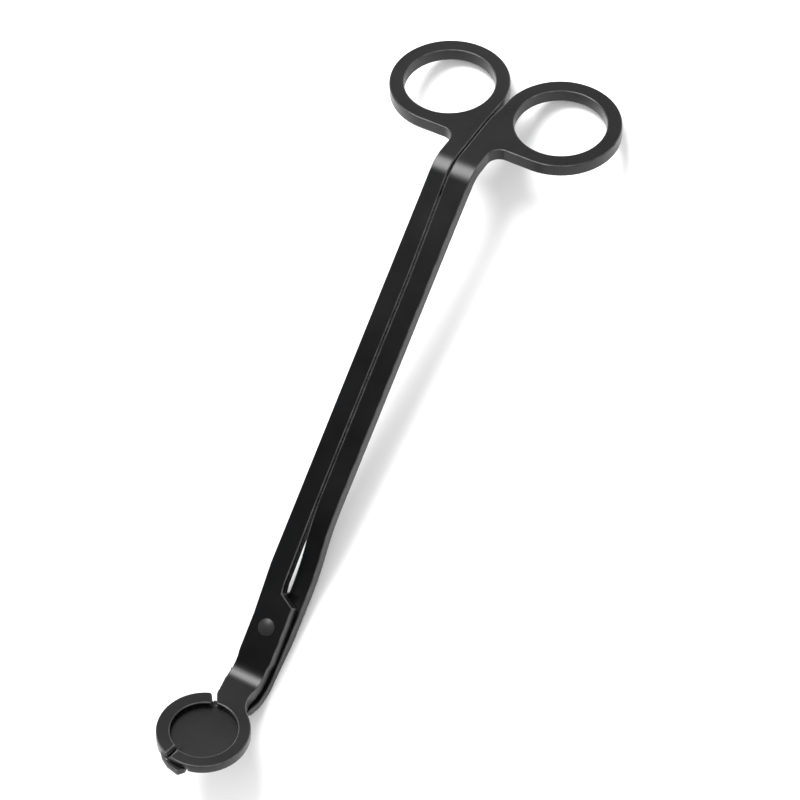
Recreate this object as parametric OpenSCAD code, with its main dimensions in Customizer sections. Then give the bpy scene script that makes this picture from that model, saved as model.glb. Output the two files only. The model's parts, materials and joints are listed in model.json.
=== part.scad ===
// Wick trimmer: two bent steel levers crossed on one rivet, with a round tray at the jaws.
// The tool lies on a table as it does when put down: on the underside of its neck bend
// and on the far edges of the two finger rings. +Y runs from the jaws to the rings.

/* [Finger rings] */
// Outer diameter of a finger ring
ring_od = 28.3; // [24:0.5:34]
// Width of the ring's band, from the finger hole to the outside
ring_band = 3.5; // [2.4:0.1:4]
// Space between the two rings when the tool is closed
ring_gap = 0.9; // [0.8:0.1:3]
// Length of the web between the handle bend and the ring
web_l = 9.35; // [7:0.05:14]
// Radius in the corner between web and shank
web_fillet = 3; // [1:0.1:3.4]

/* [Shanks] */
// Length of the shanks, from the neck bend to the handle bend
shank_l = 125.5; // [90:0.5:180]
// Width of one shank
shank_w = 4.85; // [4.2:0.05:6]
// Thickness of both levers
plate_t = 3.2; // [2.4:0.1:3.8]
// Space between the shanks when the tool is closed
shank_gap = 0.45; // [0.2:0.05:0.6]
// How far the parting line has moved to the left at the handle
parting_lean = 0.55; // [0:0.05:0.8]
// Length of shank over which the parting line leans
lean_l = 26; // [15:1:40]

/* [Bends] */
// Angle by which the shanks rise from the plane of the jaws
neck_rise = 44.5; // [35:0.5:52]
// Angle by which the handle turns back down
handle_drop = 39.5; // [30:0.5:46]
// Inside radius of the neck bend
neck_bend_r = 6.5; // [4:0.5:9]
// Inside radius of the handle bend
handle_bend_r = 6; // [4:0.5:9]
// Distance from the middle of the jaws to the neck bend
neck_l = 18; // [17:0.5:24]

/* [Pivot] */
// Distance from the neck bend to the rivet, up the shank
pivot_up = 12; // [10:0.5:16]
// Width of the blade lever where it crosses the other
pivot_w = 8.5; // [8:0.1:11]
// Diameter of the rivet
rivet_d = 3; // [2.4:0.1:3.6]
// Diameter of the rivet's domed head
rivet_head_d = 4.2; // [4:0.1:6]
// Height of the rivet's domed head
rivet_head_h = 0.55; // [0.4:0.05:1]
// Running clearance between the rivet and the blade lever, on the radius
rivet_clear = 0.05; // [0.02:0.01:0.08]
// Clearance between the two levers at the pivot, and under the rivet's head
pivot_gap = 0.1; // [0.05:0.01:0.2]
// Length of the step that takes the tray lever under the blade lever
joggle_l = 22; // [16:1:30]

/* [Jaws] */
// Diameter across the closed jaws
head_d = 21.4; // [19:0.1:24]
// Width of the jaws' band, from the mouth to the outside
jaw_band = 2.85; // [2.2:0.05:3.5]
// Thickness of the crescent blade at its cutting edge
blade_t = 1.4; // [1.2:0.1:1.8]
// Height of the crescent blade's outer rim
rim_h = 2.4; // [2:0.1:2.8]
// Clearance between the blade and the tray under it
tray_gap = 0.25; // [0.22:0.01:0.4]
// Thickness of the ring that carries the tray
base_t = 1.5; // [1.2:0.1:2]
// How far the tray plate reaches under the jaws' band, all round
tray_lap = 0.45; // [0.2:0.05:0.7]
// Thickness of the tray plate
tray_t = 1; // [0.6:0.1:1.2]
// Clearance between the two necks
neck_gap = 0.65; // [0.6:0.01:0.8]
// Thickness of the tray lever's neck
low_neck_t = 2.2; // [1.8:0.1:2.6]
// How far the beak stands out in front of the jaws
beak_reach = 1.4; // [0.8:0.1:2]
// Height of the small bevels on the jaws' front tips
tip_bevel = 0.5; // [0.3:0.1:1]

/* [Hidden] */
$fn = 96;
over = 0.5;             // how far a cutting shape runs past what it cuts
reach = 200;            // longer than any part of the tool, for masks
bend_step = 3.75;       // largest turn between two points of a bend

// Finger rings and parting line. Each inner edge is on its own side of the parting line.
ring_r = ring_od / 2;
hole_r = ring_r - ring_band;
ring_x = (ring_od + ring_gap) / 2;
ring_y = web_l + ring_r;
shank_x = shank_gap / 2 + shank_w;      // outer edge of a shank
blade_part = -shank_gap / 2;
tray_part = shank_gap / 2;
blade_handle_part = blade_part - parting_lean;
tray_handle_part = tray_part - parting_lean;

// Bends: the length of flat that each one takes up on the top face
neck_take = neck_bend_r * tan(neck_rise / 2);
handle_top_r = handle_bend_r + plate_t;
handle_take = handle_top_r * tan(handle_drop / 2);
bend_margin = 4;                        // how far an outline runs on past a bend line
past_bend = 0.3;                        // flat left beside a bend before an outline turns

// The tray lever's levels under the blade lever, and its own bend line
low_drop = plate_t + pivot_gap;
low_neck_drop = plate_t + neck_gap;
low_neck_l = neck_l + (low_drop - low_neck_drop * cos(neck_rise)) / sin(neck_rise);
low_bend_s = (low_neck_l - neck_l) * cos(neck_rise) - low_neck_drop * sin(neck_rise);
low_bend_r = neck_bend_r + 1;
low_take = low_bend_r * tan(neck_rise / 2);

// The crossing: its sides draw in a little at the bend, and end in shoulders
pivot_half = pivot_w / 2;
bend_inset = 0.2;
swell = 0.1;
blade_bend_x = [-pivot_half + bend_inset, pivot_half - bend_inset];
tray_bend_x = [-pivot_half + bend_inset, shank_x - bend_inset];
shoulder_s = pivot_up + 6.3;
shoulder_l = 2.2;
shoulder_root = 0.6;                    // width left between a shoulder's foot and the parting line
shoulder_draw = 0.15;                   // how much narrower the crossing is at its shoulders
shoulder_blend = 2;                     // length from a shoulder's foot to the parting line
side_blend = 5;                         // length from the end of the crossing to the shank's full width
shoulder_end = shoulder_s + shoulder_l;

// The joggle: two equal arcs, one up and one back to level
joggle_s = shoulder_end + 0.5;
joggle_angle = 2 * atan(low_drop / joggle_l);
joggle_r = joggle_l / (2 * sin(joggle_angle)) - plate_t / 2;
joggle_end = joggle_s + joggle_l;
joggle_relief = 0.4;                    // how much narrower the shank is on its inner side
relief_l = 12;                          // length over which the relief fades out

// Jaws
head_r = head_d / 2;
mouth_r = head_r - jaw_band;
wall_r = mouth_r - 0.3;                 // inside of the tray's wall
tray_r = mouth_r + tray_lap;
base_r = tray_r + 1;
rim_r = base_r + 0.4;                   // inside of the blade's rim
base_z = -blade_t - tray_gap;
base_bottom = base_z - base_t;
neck_start = head_r + 0.1;              // where the full thickness of a neck ends
neck_flare = min(6.4, neck_l - head_r - 0.5);   // from a neck's narrow part to its bend line
low_neck_x = [-3.3, 4.2];               // sides of the tray lever's neck
neck_x = [-3.35, 3.85];                 // sides of the blade lever's neck
blade_tip = [[-2.45, -head_r], [-2.05, 0.45 - mouth_r]];
wall_tip = [[-2.5, 0.25 - wall_r], [-3, -head_r]];
beak_tip_r = head_r + beak_reach;
beak_turn = 4.4;                        // angle of the beak's tip to the right of the middle
beak_from = beak_turn - acos(head_r / beak_tip_r) - 12;
beak_to = beak_turn + 7;
rim_from = beak_to + 1.8;
rim_to = 148;

// Middle of each bend's arcs in the jaws' frame, as (y, z)
function shank_point(y, z) = [neck_l, 0]
    + [y * cos(neck_rise) - z * sin(neck_rise), y * sin(neck_rise) + z * cos(neck_rise)];
neck_c = [neck_l - neck_take, neck_bend_r];
low_neck_c = [low_neck_l - low_take, low_bend_r - low_neck_drop];
handle_c = shank_point(shank_l - handle_take, -handle_top_r);
joggle_c1 = shank_point(joggle_s, joggle_r - low_drop);
joggle_c2 = shank_point(joggle_end, -plate_t - joggle_r);
handle_a = neck_rise - handle_drop;
function handle_point(y, z) = shank_point(shank_l, 0)
    + [y * cos(handle_a) - z * sin(handle_a), y * sin(handle_a) + z * cos(handle_a)];
ring_end = ring_y + ring_r;

// Lying on the table: the line that touches the neck bend and the far edge of the rings
bend_low_r = low_bend_r + low_neck_t;
to_edge = handle_point(ring_end, -plate_t) - low_neck_c;
tilt = atan2(to_edge[1], to_edge[0]) + asin(bend_low_r / norm(to_edge));
function lying(p) = [p[0] * cos(tilt) + p[1] * sin(tilt), p[1] * cos(tilt) - p[0] * sin(tilt)];
front_y = lying([-beak_tip_r * cos(beak_turn), base_bottom])[0];
back_y = lying(handle_point(ring_end, 0))[0];
ground_z = lying(low_neck_c)[1] - bend_low_r;

// ---- Frames. In each, the top face of the closed tool is z = 0 and +Y runs to the rings ----

// The jaws' frame, laid down on the table
module on_table() {
    translate([0, -(front_y + back_y) / 2, -ground_z]) rotate([-tilt, 0, 0]) children();
}

module shank_frame() {
    translate([0, neck_l, 0]) rotate([neck_rise, 0, 0]) children();
}

module handle_frame() {
    shank_frame() translate([0, shank_l, 0]) rotate([-handle_drop, 0, 0]) children();
}

module pivot_frame() {
    shank_frame() translate([0, pivot_up, 0]) children();
}

// ---- Helpers ----

// Points along an arc round c, at angles in the (y, z) plane
function arc(c, r, from, to) =
    let (steps = ceil(abs(to - from) / bend_step))
    [for (i = [0:steps]) let (a = from + (to - from) * i / steps) c + r * [cos(a), sin(a)]];

// A point of the jaws at an angle from the front, positive to the right
function jaw_point(r, turn) = r * [sin(turn), -cos(turn)];

// A plate of an outline, from level top down by t
module plate(t, top = 0) {
    translate([0, 0, top - t]) linear_extrude(t) children();
}

// An outline carried through everything above and below it
module through() {
    translate([0, 0, -reach / 8]) linear_extrude(reach / 4) children();
}

// A side profile in (y, z), wider than the tool
module strip(points) {
    translate([-reach / 2, 0, 0]) rotate([90, 0, 90]) linear_extrude(reach) polygon(points);
}

// A bend's full width, over the stretch where the outlines of its two flats meet
module bend_mask(bend_x, y) {
    translate([bend_x[0], y - 1, -reach / 8])
        cube([bend_x[1] - bend_x[0], 1 + plate_t, reach / 4]);
}

// A band of the jaws between two angles from the front
module jaw_sector(outer, inner, from, to) {
    steps = 12;
    far = [for (i = [0:steps]) jaw_point(2 * outer, from + (to - from) * i / steps)];
    intersection() {
        difference() {
            circle(outer);
            circle(inner);
        }
        polygon(concat([[0, 0]], far));
    }
}

// A bevel on the top edge of a jaw's end. The jaw lies to the right of the line from a to b.
module tip_cut(a, b) {
    along = b - a;
    translate([a[0], a[1], -tip_bevel]) rotate([0, 0, atan2(along[1], along[0])])
        translate([-over, 0, 0]) rotate([45, 0, 0]) cube([norm(along) + 2 * over, head_r, head_r]);
}

// ---- Handle: a finger ring and its web ----

// Outline of one handle. side is -1 for the left and 1 for the right. part_x is its inner edge.
module handle_outline(side, part_x) {
    difference() {
        union() {
            translate([side * ring_x, ring_y]) circle(ring_r);
            polygon([
                [side * shank_x, -bend_margin], [part_x, -bend_margin],
                [part_x, ring_y - ring_r / 2], [side * ring_gap / 2, ring_y],
                [side * ring_x, ring_y], [side * ring_x, web_l], [side * shank_x, web_l]]);
            difference() {
                translate([side * (shank_x + web_fillet / 2), web_l - web_fillet / 2])
                    square(web_fillet, center = true);
                translate([side * (shank_x + web_fillet), web_l - web_fillet]) circle(web_fillet);
            }
        }
        translate([side * ring_x, ring_y]) circle(hole_r);
    }
}

// Side profile of the handle bend and the handle, along the top and back along the underside
handle_top = concat(arc(handle_c, handle_top_r, 90 + neck_rise, 90 + handle_a),
    [handle_point(ring_end + over, 0)]);
handle_under = concat([handle_point(ring_end + over, -plate_t)],
    arc(handle_c, handle_bend_r, 90 + handle_a, 90 + neck_rise));

// ---- Blade lever: left ring, top plate at the crossing, right-hand crescent blade ----

module blade_shank_outline() {
    polygon([
        [blade_bend_x[0], 0], [blade_bend_x[1], 0],
        [blade_bend_x[1], neck_take + past_bend], [pivot_half + swell, neck_take + shoulder_blend],
        [pivot_half, pivot_up + shoulder_blend], [pivot_half - shoulder_draw, shoulder_s],
        [blade_part + shoulder_root, shoulder_end],
        [blade_part + shoulder_root / 2, shoulder_end + shoulder_blend],
        [blade_part, joggle_end], [blade_part, shank_l - lean_l],
        [blade_handle_part, shank_l - handle_take - past_bend], [blade_handle_part, shank_l],
        [-shank_x, shank_l], [-shank_x, joggle_s + side_blend],
        [-pivot_half - swell, pivot_up + shoulder_blend], [-pivot_half, neck_take + shoulder_blend],
        [blade_bend_x[0], neck_take + past_bend]]);
}

// What is left of the ring for the blade: cut off at its tip in front and at the notch behind
module blade_side() {
    polygon([
        [0, 0], blade_tip[1], blade_tip[0], [blade_tip[0][0], -2 * head_r], [2 * head_r, -2 * head_r],
        [2 * head_r, 2 * head_r], [-pivot_half, 2 * head_r],
        [blade_bend_x[0], neck_l - neck_take - past_bend],
        [neck_x[0], neck_l - neck_flare], [neck_x[0], head_r + 0.4], [neck_x[0] + 0.3, head_r - 0.6],
        [-1.9, mouth_r + 0.55], [-1.2, mouth_r - 0.4]]);
}

// The neck, with a blend of its right edge into the outside of the jaws
module blade_neck_outline() {
    blend_r = 6;
    blend_x = neck_x[1] + blend_r;
    blend_y = sqrt(pow(head_r + blend_r, 2) - blend_x * blend_x);
    polygon([
        [-pivot_half, mouth_r - 2], [neck_x[1], mouth_r - 2], [neck_x[1], neck_l - 4],
        [blade_bend_x[1], neck_l - neck_take - past_bend], [blade_bend_x[1], neck_l],
        [-pivot_half, neck_l]]);
    difference() {
        polygon([[0, mouth_r - 2], [blend_x, blend_y] * head_r / (head_r + blend_r),
            [blend_x, blend_y], [0, blend_y]]);
        translate([blend_x, blend_y]) circle(blend_r);
    }
}

module blade_head_outline() {
    intersection() {
        difference() {
            union() {
                circle(head_r);
                blade_neck_outline();
            }
            circle(mouth_r);
        }
        blade_side();
    }
}

blade_profile = concat(
    [[neck_start, 0]], arc(neck_c, neck_bend_r, -90, neck_rise - 90), handle_top, handle_under,
    arc(neck_c, neck_bend_r + plate_t, neck_rise - 90, -90), [[neck_start, -plate_t]]);

module blade_lever() {
    color([0.16, 0.16, 0.17]) on_table() difference() {
        union() {
            intersection() {
                strip(blade_profile);
                union() {
                    through() blade_head_outline();
                    bend_mask(blade_bend_x, neck_l);
                    shank_frame() through() blade_shank_outline();
                    handle_frame() through() handle_outline(-1, blade_handle_part);
                }
            }
            plate(blade_t) blade_head_outline();
            plate(rim_h) jaw_sector(head_r, rim_r, rim_from, rim_to);
        }
        pivot_frame() translate([0, 0, -plate_t - over])
            cylinder(h = plate_t + 2 * over, r = rivet_d / 2 + rivet_clear);
        tip_cut(blade_tip[0], blade_tip[1]);
    }
}

// ---- Tray lever: right ring, joggle, lower neck, tray wall and beak ----

module tray_shank_outline() {
    polygon([
        [tray_bend_x[0], low_bend_s], [tray_bend_x[1], low_bend_s],
        [tray_bend_x[1], low_bend_s + low_take + past_bend], [shank_x, pivot_up], [shank_x, shank_l],
        [tray_handle_part, shank_l], [tray_handle_part, shank_l - handle_take - past_bend],
        [tray_part, shank_l - lean_l], [tray_part, joggle_end + 1],
        [tray_part + joggle_relief, joggle_end - relief_l], [tray_part + joggle_relief, joggle_s],
        [tray_part - shoulder_root, shoulder_end], [-pivot_half + shoulder_draw, shoulder_s],
        [tray_bend_x[0], low_bend_s + low_take + past_bend]]);
}

module tray_neck_outline() {
    bend_y = low_neck_l - low_take - past_bend;
    flare_y = neck_l - neck_flare;
    polygon([
        [low_neck_x[0], 0], [low_neck_x[1], 0], [low_neck_x[1], flare_y], [tray_bend_x[1], bend_y],
        [tray_bend_x[1], low_neck_l], [tray_bend_x[0], low_neck_l], [tray_bend_x[0], bend_y],
        [low_neck_x[0], flare_y]]);
}

// The neck steps up into the ring that carries the tray, and is thinner than the shank
tray_profile = concat(
    [[mouth_r, base_z], [base_r + 0.1, base_z], [neck_start, -low_neck_drop]],
    arc(low_neck_c, low_bend_r, -90, neck_rise - 90),
    arc(joggle_c1, joggle_r, neck_rise - 90, neck_rise - 90 + joggle_angle),
    arc(joggle_c2, joggle_r + plate_t, neck_rise + 90 + joggle_angle, neck_rise + 90),
    handle_top, handle_under,
    arc(joggle_c2, joggle_r, neck_rise + 90, neck_rise + 90 + joggle_angle),
    arc(joggle_c1, joggle_r + plate_t, neck_rise - 90 + joggle_angle, neck_rise - 90),
    [shank_point(pivot_up - 3, -low_drop - plate_t)],
    arc(low_neck_c, low_bend_r + low_neck_t, neck_rise - 90, -90),
    [[neck_start + 1.8, -low_neck_drop - low_neck_t], [base_r + 0.4, base_bottom],
        [mouth_r, base_bottom]]);

module wall_side() {
    polygon([
        [0, 0], [-2.45, wall_r - 0.45], [-3.05, wall_r + 0.85], [-4, head_r - 1.1],
        [-2 * head_r, head_r + 2], [-2 * head_r, -2 * head_r], [wall_tip[1][0], -2 * head_r],
        wall_tip[1], wall_tip[0]]);
}

module beak_outline() {
    polygon([
        jaw_point(head_r - 0.3, beak_from), jaw_point(head_r + 0.35 * beak_reach, 0.65 * beak_from),
        jaw_point(head_r + 0.7 * beak_reach, 0.3 * beak_from), jaw_point(beak_tip_r, beak_turn),
        jaw_point(head_r + 0.1, beak_to - 0.5), jaw_point(base_r - 0.2, beak_to),
        jaw_point(base_r - 0.2, beak_from)]);
}

module tray_head() {
    plate(base_t, base_z) union() {
        circle(base_r);
        beak_outline();
    }
    difference() {
        plate(-base_bottom) intersection() {
            difference() {
                circle(head_r);
                circle(wall_r);
            }
            wall_side();
        }
        tip_cut(wall_tip[0], wall_tip[1]);
    }
}

module tray_lever() {
    color([0.16, 0.16, 0.17]) on_table() difference() {
        union() {
            tray_head();
            intersection() {
                strip(tray_profile);
                union() {
                    through() tray_neck_outline();
                    bend_mask(tray_bend_x, low_neck_l);
                    shank_frame() through() tray_shank_outline();
                    handle_frame() through() handle_outline(1, tray_handle_part);
                }
            }
        }
        translate([0, 0, base_bottom - over]) cylinder(h = base_t + over, r = tray_r);
        pivot_frame() translate([0, 0, -low_drop - plate_t]) {
            cylinder(h = plate_t + over, r = rivet_d / 2);
            rivet_tail(over);
        }
    }
}

// ---- Tray plate ----

module tray_plate() {
    color([0.2, 0.2, 0.21]) on_table() plate(tray_t, base_z) circle(tray_r);
}

// ---- Rivet: domed head on top, shank, and a tail set into a countersink underneath ----

// The tail's cone, from the underside of the tray lever upwards. extra lengthens the cutter.
module rivet_tail(extra = 0) {
    tail_h = 0.7;
    tail_r = rivet_head_d / 2;
    cylinder(h = tail_h, r1 = tail_r, r2 = rivet_d / 2);
    if (extra > 0) translate([0, 0, -extra]) cylinder(h = extra, r = tail_r);
}

module pivot_rivet() {
    head_r1 = rivet_head_d / 2;
    dome_r = (head_r1 * head_r1 + rivet_head_h * rivet_head_h) / (2 * rivet_head_h);
    tail_z = -low_drop - plate_t;
    color([0.16, 0.16, 0.17]) on_table() pivot_frame() {
        translate([0, 0, tail_z]) cylinder(h = pivot_gap - tail_z, r = rivet_d / 2);
        translate([0, 0, tail_z]) rivet_tail();
        intersection() {
            translate([0, 0, pivot_gap + rivet_head_h - dome_r]) sphere(dome_r);
            translate([0, 0, pivot_gap]) cylinder(h = rivet_head_h, r = head_r1);
        }
    }
}

blade_lever();
tray_lever();
tray_plate();
pivot_rivet();
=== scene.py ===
# %% [markdown]
# # A wick trimmer in satin black
#
# A wick trimmer is a pair of long, bent scissors for candles. Two steel levers cross at one
# rivet. One carries a crescent blade, and the other a round tray that catches the cut wick.
# The levers are stamped from plate, bent, and coated in black.
#
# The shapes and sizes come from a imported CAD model, which loads as a fixed frame. This lesson
# adds what the CAD model leaves out: softened edges, the coating with its fine texture and
# wear, a floor, light and a camera.

import json
import math

import bmesh
import bpy
from mathutils import Matrix, Vector


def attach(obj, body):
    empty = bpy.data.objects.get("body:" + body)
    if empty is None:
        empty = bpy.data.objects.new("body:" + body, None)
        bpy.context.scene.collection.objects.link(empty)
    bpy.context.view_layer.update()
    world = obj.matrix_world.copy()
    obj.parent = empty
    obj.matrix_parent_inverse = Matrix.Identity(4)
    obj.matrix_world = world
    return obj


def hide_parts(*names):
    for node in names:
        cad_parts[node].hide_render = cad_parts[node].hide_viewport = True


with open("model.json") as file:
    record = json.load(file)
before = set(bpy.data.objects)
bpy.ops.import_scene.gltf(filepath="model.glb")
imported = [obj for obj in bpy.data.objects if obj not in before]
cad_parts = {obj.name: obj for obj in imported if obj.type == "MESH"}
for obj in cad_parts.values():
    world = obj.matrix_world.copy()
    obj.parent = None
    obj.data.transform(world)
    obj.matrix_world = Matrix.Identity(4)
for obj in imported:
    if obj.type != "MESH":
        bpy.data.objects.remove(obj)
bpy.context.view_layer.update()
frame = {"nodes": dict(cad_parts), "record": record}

# %% [markdown]
# ## Units
#
# Blender works in metres, and a maker thinks of such a tool in millimetres. One constant
# keeps the numbers readable.

# %% Millimetres
MM = 0.001

# %% [markdown]
# ## Soft edges
#
# A stamped plate is tumbled before it is coated, so no edge stays sharp, and each one
# catches a thin line of light. A Bevel modifier could round the edges at render time. Here
# the bevel operator does it in the mesh, because the new faces can then also be marked: there
# the coating is rubbed smoother, and a paler colour is painted on as a highlight line.
#
# The CAD mesh is loose triangles, so a copy is welded first. Then the flat areas are
# dissolved into whole faces, so that only the real edges of the plate are left to bevel.
#
# Bevels are not clamped: one short edge anywhere would shrink every bevel of a lever to
# nothing. The price is that crowded edges cross. The rims of the rivet's bore stay sharp
# for that reason. This does not cure all of it: in other tight corners of the two levers
# some rounded edges still cross each other, and a few points stand up to 2 mm off the
# plate. Those corners would have to stay sharp as well, or be rounded by less.

# %% Weld a copy of a CAD node
WELD = 0.002 * MM


def welded_copy(node):
    bm = bmesh.new()
    bm.from_mesh(frame["nodes"][node].data)
    bmesh.ops.remove_doubles(bm, verts=bm.verts, dist=WELD)
    bmesh.ops.dissolve_degenerate(bm, edges=bm.edges, dist=WELD)
    bmesh.ops.dissolve_limit(
        bm, angle_limit=math.radians(0.5), verts=bm.verts, edges=bm.edges,
        use_dissolve_boundaries=False, delimit=set())
    open_edges = sum(not e.is_manifold for e in bm.edges)
    print(f"{node}: {len(bm.faces)} faces after welding, {open_edges} open edges")
    return bm


# %% Round the sharp edges and mark them
# The bevel mark: rubbed, smoother coating, and where a paler edge colour is painted as a highlight
# line.
EDGE_WEAR_AND_HIGHLIGHT = "edge_wear"
PIVOT = frame["record"]["behaviour"]["joints"][0]
PIVOT_AXIS = Vector(PIVOT["axis"]).normalized()
BORE_REACH = 2.8 * MM


def off_axis(point):
    """Distance of a point from the pivot's axis."""
    return (point - Vector(PIVOT["pos_m"])).cross(PIVOT_AXIS).length


def soften(bm, width, segments, sharper_than, bore=0.0):
    """Bevels the edges that turn by more than sharper_than degrees, but leaves the rims of a bore.

    Marks the middle of each bevel, where the coating is rubbed smoother and a paler colour is
    painted as a highlight line.
    """
    sharp = [e for e in bm.edges
             if e.is_manifold and e.calc_face_angle(0) > math.radians(sharper_than)
             and off_axis((e.verts[0].co + e.verts[1].co) / 2) > bore]
    made = bmesh.ops.bevel(
        bm, geom=sharp, offset=width, offset_type="OFFSET", affect="EDGES",
        segments=segments, profile=0.5, material=-1, clamp_overlap=False,
        miter_outer="SHARP", miter_inner="SHARP", loop_slide=True)
    rounded = set(made["faces"])
    layer = bm.verts.layers.float.new(EDGE_WEAR_AND_HIGHLIGHT)
    for v in bm.verts:
        v[layer] = float(bool(v.link_faces) and all(f in rounded for f in v.link_faces))
    print(f"  {len(sharp)} edges rounded by {width / MM:.2f} mm")


# %% [markdown]
# ## From a bmesh to a piece
#
# Each piece takes the place of its CAD node, rides on the same body, and names the finish
# that it uses. Faces are shaded smooth. A Weighted Normal modifier lets the large flat
# faces set the direction of the light, so a plate stays flat right up to its bevel.

# %% Make a piece
def body_of(node):
    bodies = frame["record"]["behaviour"]["bodies"]
    return next(b for b, members in bodies.items() if node in members)


def make_piece(name, bm, node, material):
    for face in bm.faces:
        face.smooth = True
    mesh = bpy.data.meshes.new(name)
    bm.to_mesh(mesh)
    bm.free()
    piece = bpy.data.objects.new(name, mesh)
    bpy.context.scene.collection.objects.link(piece)
    mesh.materials.append(material)
    weighted = piece.modifiers.new("flat plates", "WEIGHTED_NORMAL")
    weighted.mode = "FACE_AREA"
    weighted.weight = 100
    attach(piece, body_of(node))
    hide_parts(node)
    print(f"  {name}: {len(mesh.polygons)} faces, rides on {body_of(node)}")
    return piece


# %% [markdown]
# ## Writing a material as sums
#
# A coating is a few layers of noise, mixed by simple sums. Nodes placed one by one hide
# those sums. A small class wraps a socket, so that an expression such as
# `0.4 + 0.2 * grain` adds the Math nodes itself. Everything else comes from one method.

# %% Sockets that can be added and multiplied
class Wire:
    def __init__(self, tree, socket):
        self.tree, self.socket = tree, socket

    def _math(self, operation, a, b):
        made = self.tree.node("ShaderNodeMath", {"operation": operation}, {0: a, 1: b})
        return made["Value"]

    def __add__(self, other):
        return self._math("ADD", self, other)

    def __sub__(self, other):
        return self._math("SUBTRACT", self, other)

    def __mul__(self, other):
        return self._math("MULTIPLY", self, other)

    __radd__ = __add__
    __rmul__ = __mul__


# %% A material under construction
class Finish:
    def __init__(self, name):
        self.material = bpy.data.materials.new(name)
        self.material.use_nodes = True
        self.nodes = self.material.node_tree.nodes
        self.links = self.material.node_tree.links
        self.nodes.clear()

    def node(self, kind, settings=None, inputs=None):
        """Adds one node: its settings first, then the values or wires of its sockets."""
        made = self.nodes.new(kind)
        for key, value in (settings or {}).items():
            if key == "stops":
                ramp = made.color_ramp.elements
                while len(ramp) < len(value):
                    ramp.new(1.0)
                for stop, (position, grey) in zip(ramp, value):
                    stop.position, stop.color = position, (grey, grey, grey, 1)
            else:
                setattr(made, key, value)
        for key, value in (inputs or {}).items():
            if isinstance(value, Wire):
                self.links.new(value.socket, made.inputs[key])
            else:
                made.inputs[key].default_value = value
        return {s.name: Wire(self, s) for s in made.outputs if s.enabled}

    def noise(self, where, scale, detail, roughness=0.5):
        """Noise from 0 to 1. scale is how many grains there are in a metre."""
        return self.node("ShaderNodeTexNoise", {"noise_dimensions": "3D"},
                         {"Vector": where, "Scale": scale, "Detail": detail,
                          "Roughness": roughness})["Fac"]

    def ramp(self, fac, *stops):
        return self.node("ShaderNodeValToRGB", {"stops": stops}, {"Fac": fac})["Color"]

    def mix(self, factor, a, b):
        made = self.nodes.new("ShaderNodeMix")
        made.data_type = "RGBA"
        for socket, value in zip((made.inputs[0], made.inputs[6], made.inputs[7]), (factor, a, b)):
            if isinstance(value, Wire):
                self.links.new(value.socket, socket)
            else:
                socket.default_value = value
        return Wire(self, made.outputs[2])

    def done(self, shader):
        self.node("ShaderNodeOutputMaterial", None, {"Surface": shader})
        return self.material


# %% [markdown]
# ## Satin black coating
#
# The coating is an even near-black with a soft sheen. Three things keep it from looking
# like plastic. A fine grain, about a fifth of a millimetre across, breaks up the sheen. A
# slow cloud makes some areas a little drier than others. Along the rounded edges, hands and
# jars have polished it, so the edge is smoother, and a paler colour is painted there as a
# highlight that draws a thin bright line.
#
# All of it is noise on Object coordinates, because each piece sits at the origin with its
# place in its mesh, so the pattern stays at real size.

# %% The coating
CLOUD_MM, RUB_MM = 14, 3
# Paler colour of the rounded edges: partly rubbed coating, partly a painted highlight line.
WORN_AND_HIGHLIGHT_COLOUR = (0.14, 0.14, 0.145, 1)


def satin_black(name, tint, sheen_roughness, grain_mm, grain_depth, wear_and_highlight_amount):
    f = Finish(name)
    where = f.node("ShaderNodeTexCoord")["Object"]
    grain = f.noise(where, 1 / (grain_mm * MM), detail=3.0, roughness=0.6)
    cloud = f.noise(where, 1 / (CLOUD_MM * MM), detail=4.0, roughness=0.55)
    rub = f.ramp(f.noise(where, 1 / (RUB_MM * MM), detail=4.0), (0.35, 0.0), (0.7, 1.0))
    edge = f.node("ShaderNodeAttribute", {"attribute_name": EDGE_WEAR_AND_HIGHLIGHT})["Fac"]
    # Mask of the rubbed edges. It also carries the painted highlight line, and it lowers the
    # roughness there.
    wear_and_highlight = edge * (0.35 + 0.65 * rub)
    dark = [c * 0.8 for c in tint] + [1]
    pale = [c * 1.25 for c in tint] + [1]
    coat = f.mix(f.ramp(cloud, (0.3, 0.0), (0.7, 1.0)), dark, pale)
    # Painted highlight: the rounded edges are mixed towards a paler colour, which is partly rubbed
    # coating.
    colour = f.mix(wear_and_highlight * wear_and_highlight_amount, coat, WORN_AND_HIGHLIGHT_COLOUR)
    bump = f.node("ShaderNodeBump", None,
                  {"Strength": 0.35, "Distance": grain_depth * MM, "Height": grain})["Normal"]
    shader = f.node("ShaderNodeBsdfPrincipled", None, {
        "Base Color": colour,
        "Roughness": sheen_roughness + 0.14 * (cloud - 0.5) + 0.1 * (grain - 0.5) - 0.12 * wear_and_highlight,
        "Metallic": 0.0, "IOR": 1.5, "Specular IOR Level": 0.3, "Normal": bump})["BSDF"]
    print(f"{name}: grain {grain_mm} mm, roughness about {sheen_roughness}")
    return f.done(shader)


# %% The three finishes
# The last number sets how strongly the paler edge colour, partly a painted highlight, shows.
lever_coating = satin_black("lever_coating", (0.004, 0.004, 0.0044), 0.3, 0.22, 0.012, 0.6)
tray_coating = satin_black("tray_coating", (0.0045, 0.0045, 0.0048), 0.34, 0.2, 0.012, 0.4)
rivet_coating = satin_black("rivet_coating", (0.016, 0.016, 0.0165), 0.42, 0.2, 0.008, 0.6)

# %% [markdown]
# ## The two levers
#
# The levers are plate of about 3 mm, and their edges are rounded by 0.3 mm. Three
# segments are enough for a line of light this thin.

# %% Levers
EDGE = 0.3 * MM

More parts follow.
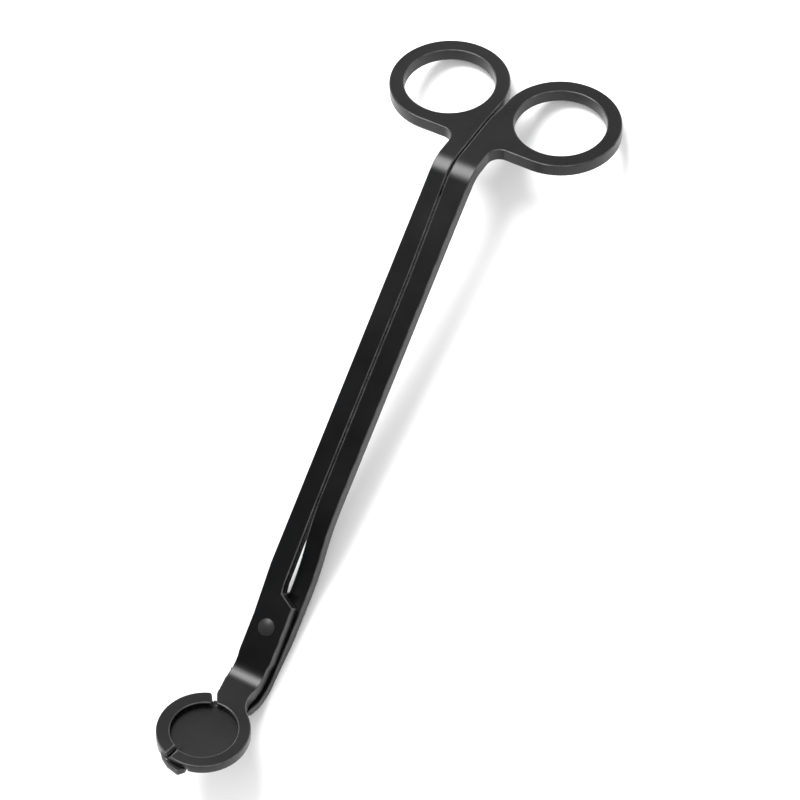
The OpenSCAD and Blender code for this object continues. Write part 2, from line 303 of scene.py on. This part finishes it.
for node in ("blade_lever", "tray_lever"):
    bm = welded_copy(node)
    soften(bm, EDGE, segments=3, sharper_than=28, bore=BORE_REACH)
    make_piece(node + "_coated", bm, node, lever_coating)

# %% [markdown]
# ## The tray plate and the rivet
#
# The tray is thin sheet with a barely broken edge. The rivet's head is a low dome that
# was pressed, so only its rim is rounded. One loop makes both.

# %% Tray plate and rivet
for node, width, coating in (("tray_plate", 0.1 * MM, tray_coating),
                             ("pivot_rivet", 0.08 * MM, rivet_coating)):
    bm = welded_copy(node)
    soften(bm, width, segments=2, sharper_than=40)
    make_piece(node + "_coated", bm, node, coating)

# %% [markdown]
# ## Floor
#
# The tool lies on a pale matt table. One large plane is enough, since the light is soft
# and leaves only a soft shadow.

# %% Floor
bm = bmesh.new()
bmesh.ops.create_grid(bm, x_segments=1, y_segments=1, size=2.0)
floor_mesh = bpy.data.meshes.new("table")
bm.to_mesh(floor_mesh)
bm.free()
floor = bpy.data.objects.new("table", floor_mesh)
bpy.context.scene.collection.objects.link(floor)

paper = Finish("pale_table")
shader = paper.node("ShaderNodeBsdfPrincipled", None, {
    "Base Color": (0.9, 0.9, 0.9, 1), "Roughness": 0.9, "Specular IOR Level": 0.1})["BSDF"]
floor_mesh.materials.append(paper.done(shader))
print("floor at z =", floor.location.z)

# %% [markdown]
# ## Camera
#
# The camera looks down steeply from the right, and it is rolled so that the tool runs
# from the lower left to the upper right. A long lens keeps both ends nearly the same size.
# Azimuth 0 looks along +Y, and a positive roll turns the camera anticlockwise.

# %% Camera
AIM = Vector((7.39, 6.24, 10.07)) * MM
AZIMUTH, ELEVATION, ROLL = (math.radians(a) for a in (77.87, 68.99, -53.82))
DISTANCE = 637 * MM

back = Vector((math.sin(AZIMUTH) * math.cos(ELEVATION),
               -math.cos(AZIMUTH) * math.cos(ELEVATION), math.sin(ELEVATION)))
level = Vector((0, 0, 1)).cross(back).normalized()
right = level * math.cos(ROLL) + back.cross(level) * math.sin(ROLL)
up = back.cross(right)
turn = Matrix((right, up, back)).transposed().to_4x4()

lens = bpy.data.cameras.new("camera")
lens.lens, lens.sensor_width = 126, 36
lens.clip_start, lens.clip_end = 0.05, 10
camera = bpy.data.objects.new("camera", lens)
camera.matrix_world = Matrix.Translation(AIM + back * DISTANCE) @ turn
bpy.context.scene.collection.objects.link(camera)
bpy.context.scene.camera = camera
print("camera at", [round(v, 3) for v in camera.matrix_world.translation])

# %% [markdown]
# ## Light
#
# A dark, glossy object shows its surroundings more than its own colour, so the light is
# planned as what each face reflects. A large, dim panel beyond the rings is what the rings
# and the jaws reflect, and gives them their grey. The shanks reflect the dark above them. A
# small softbox between the two is what the bends reflect, and gives them their bright bands.
#
# The world only lights the table and the colour of the coating. It is hidden from glossy
# reflections, or it would wash out the difference between shanks and rings.

# %% Light
def softbox(name, direction, distance, size, watts):
    light = bpy.data.lights.new(name, "AREA")
    light.shape, light.size, light.energy = "DISK", size, watts
    lamp = bpy.data.objects.new(name, light)
    towards = Vector(direction).normalized()
    lamp.matrix_world = (Matrix.Translation(AIM + towards * distance)
                         @ towards.to_track_quat("Z", "Y").to_matrix().to_4x4())
    bpy.context.scene.collection.objects.link(lamp)
    print(f"{name}: {watts} W, {size} m across")
    return lamp


softbox("bend_light", (-0.35, 0.47, 0.81), 0.8, 0.45, 9.5)
softbox("plate_light", (-0.35, 0.9, 0.28), 1.5, 1.2, 2.1)

world = bpy.data.worlds.new("studio")
world.use_nodes = True
world.node_tree.nodes["Background"].inputs["Color"].default_value = (1, 1, 1, 1)
world.node_tree.nodes["Background"].inputs["Strength"].default_value = 1.15
world.cycles_visibility.glossy = False
bpy.context.scene.world = world
bpy.context.scene.view_settings.view_transform = "Standard"
